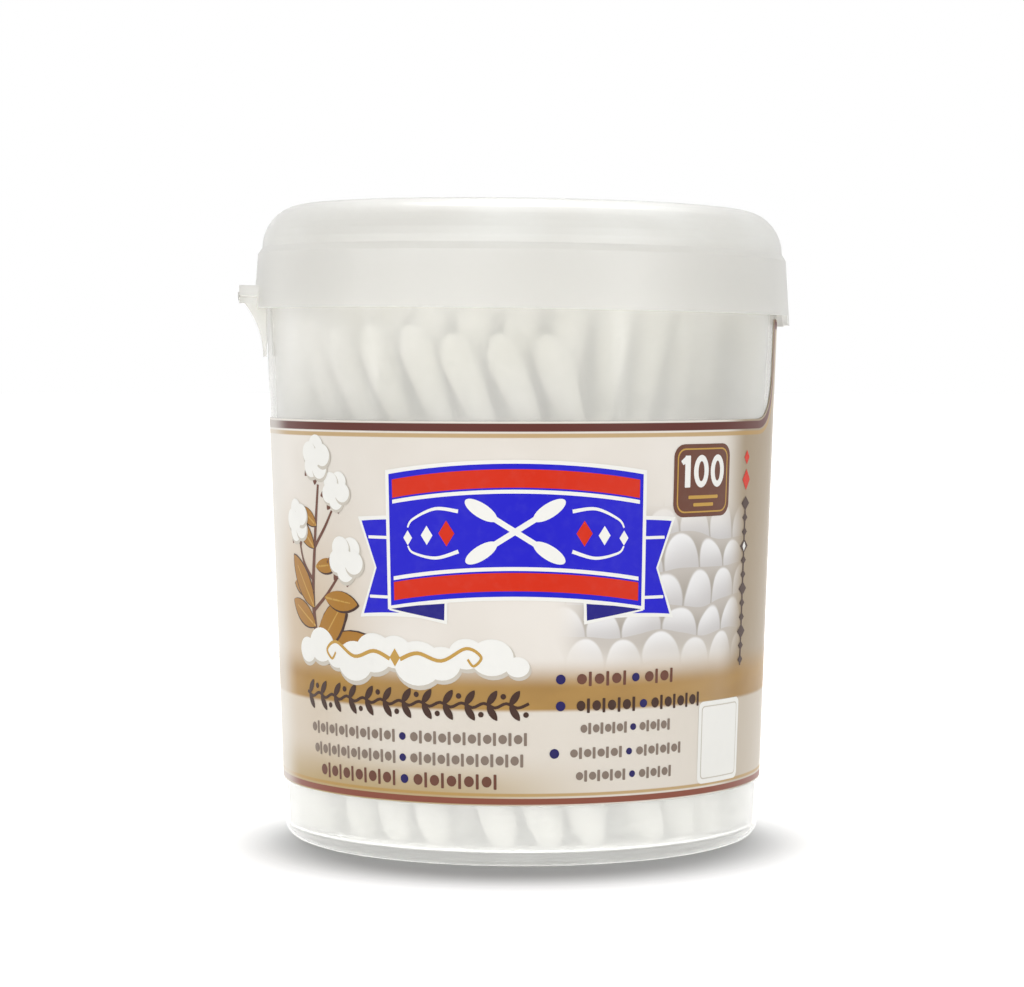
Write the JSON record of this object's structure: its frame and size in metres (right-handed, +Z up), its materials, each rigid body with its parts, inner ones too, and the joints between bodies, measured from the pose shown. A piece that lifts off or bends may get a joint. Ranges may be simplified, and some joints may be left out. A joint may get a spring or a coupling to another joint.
{
  "type": "cotton swab tub",
  "caption": "Round translucent tub with a wrap label, a snap lid on a film hinge, and upright cotton swabs packed inside.",
  "frame": {"origin": "middle of the foot, on the surface the tub stands on", "axes": "+Z up along the tub's axis, -Y towards the window of the label, -X towards the hinge of the lid"},
  "size_m": [0.0761, 0.0746, 0.0875],
  "materials": {
    "tub_plastic": "natural milky polypropylene, satin",
    "lid_plastic": "natural milky polypropylene, satin",
    "label_print": "printed film moulded into the wall, satin",
    "stick_paper": "tightly rolled white paper",
    "cotton": "wound cotton, matt and slightly fuzzy"
  },
  "bodies": {
    "tub": {"tub": "tub_plastic", "label": "label_print", "sticks_ring_1": "stick_paper", "sticks_ring_2": "stick_paper", "sticks_ring_3": "stick_paper", "sticks_ring_4": "stick_paper", "sticks_ring_5": "stick_paper", "sticks_ring_6": "stick_paper", "tips_ring_1": "cotton", "tips_ring_2": "cotton", "tips_ring_3": "cotton", "tips_ring_4": "cotton", "tips_ring_5": "cotton", "tips_ring_6": "cotton"},
    "lid": {"lid": "lid_plastic"}
  },
  "joints": [
    {"name": "lid_hinge", "type": "hinge", "parent": "tub", "child": "lid", "pos_m": [-0.03871, 0, 0.0748], "axis": [0, -1, 0], "range_deg": [0, 180]}
  ]
}
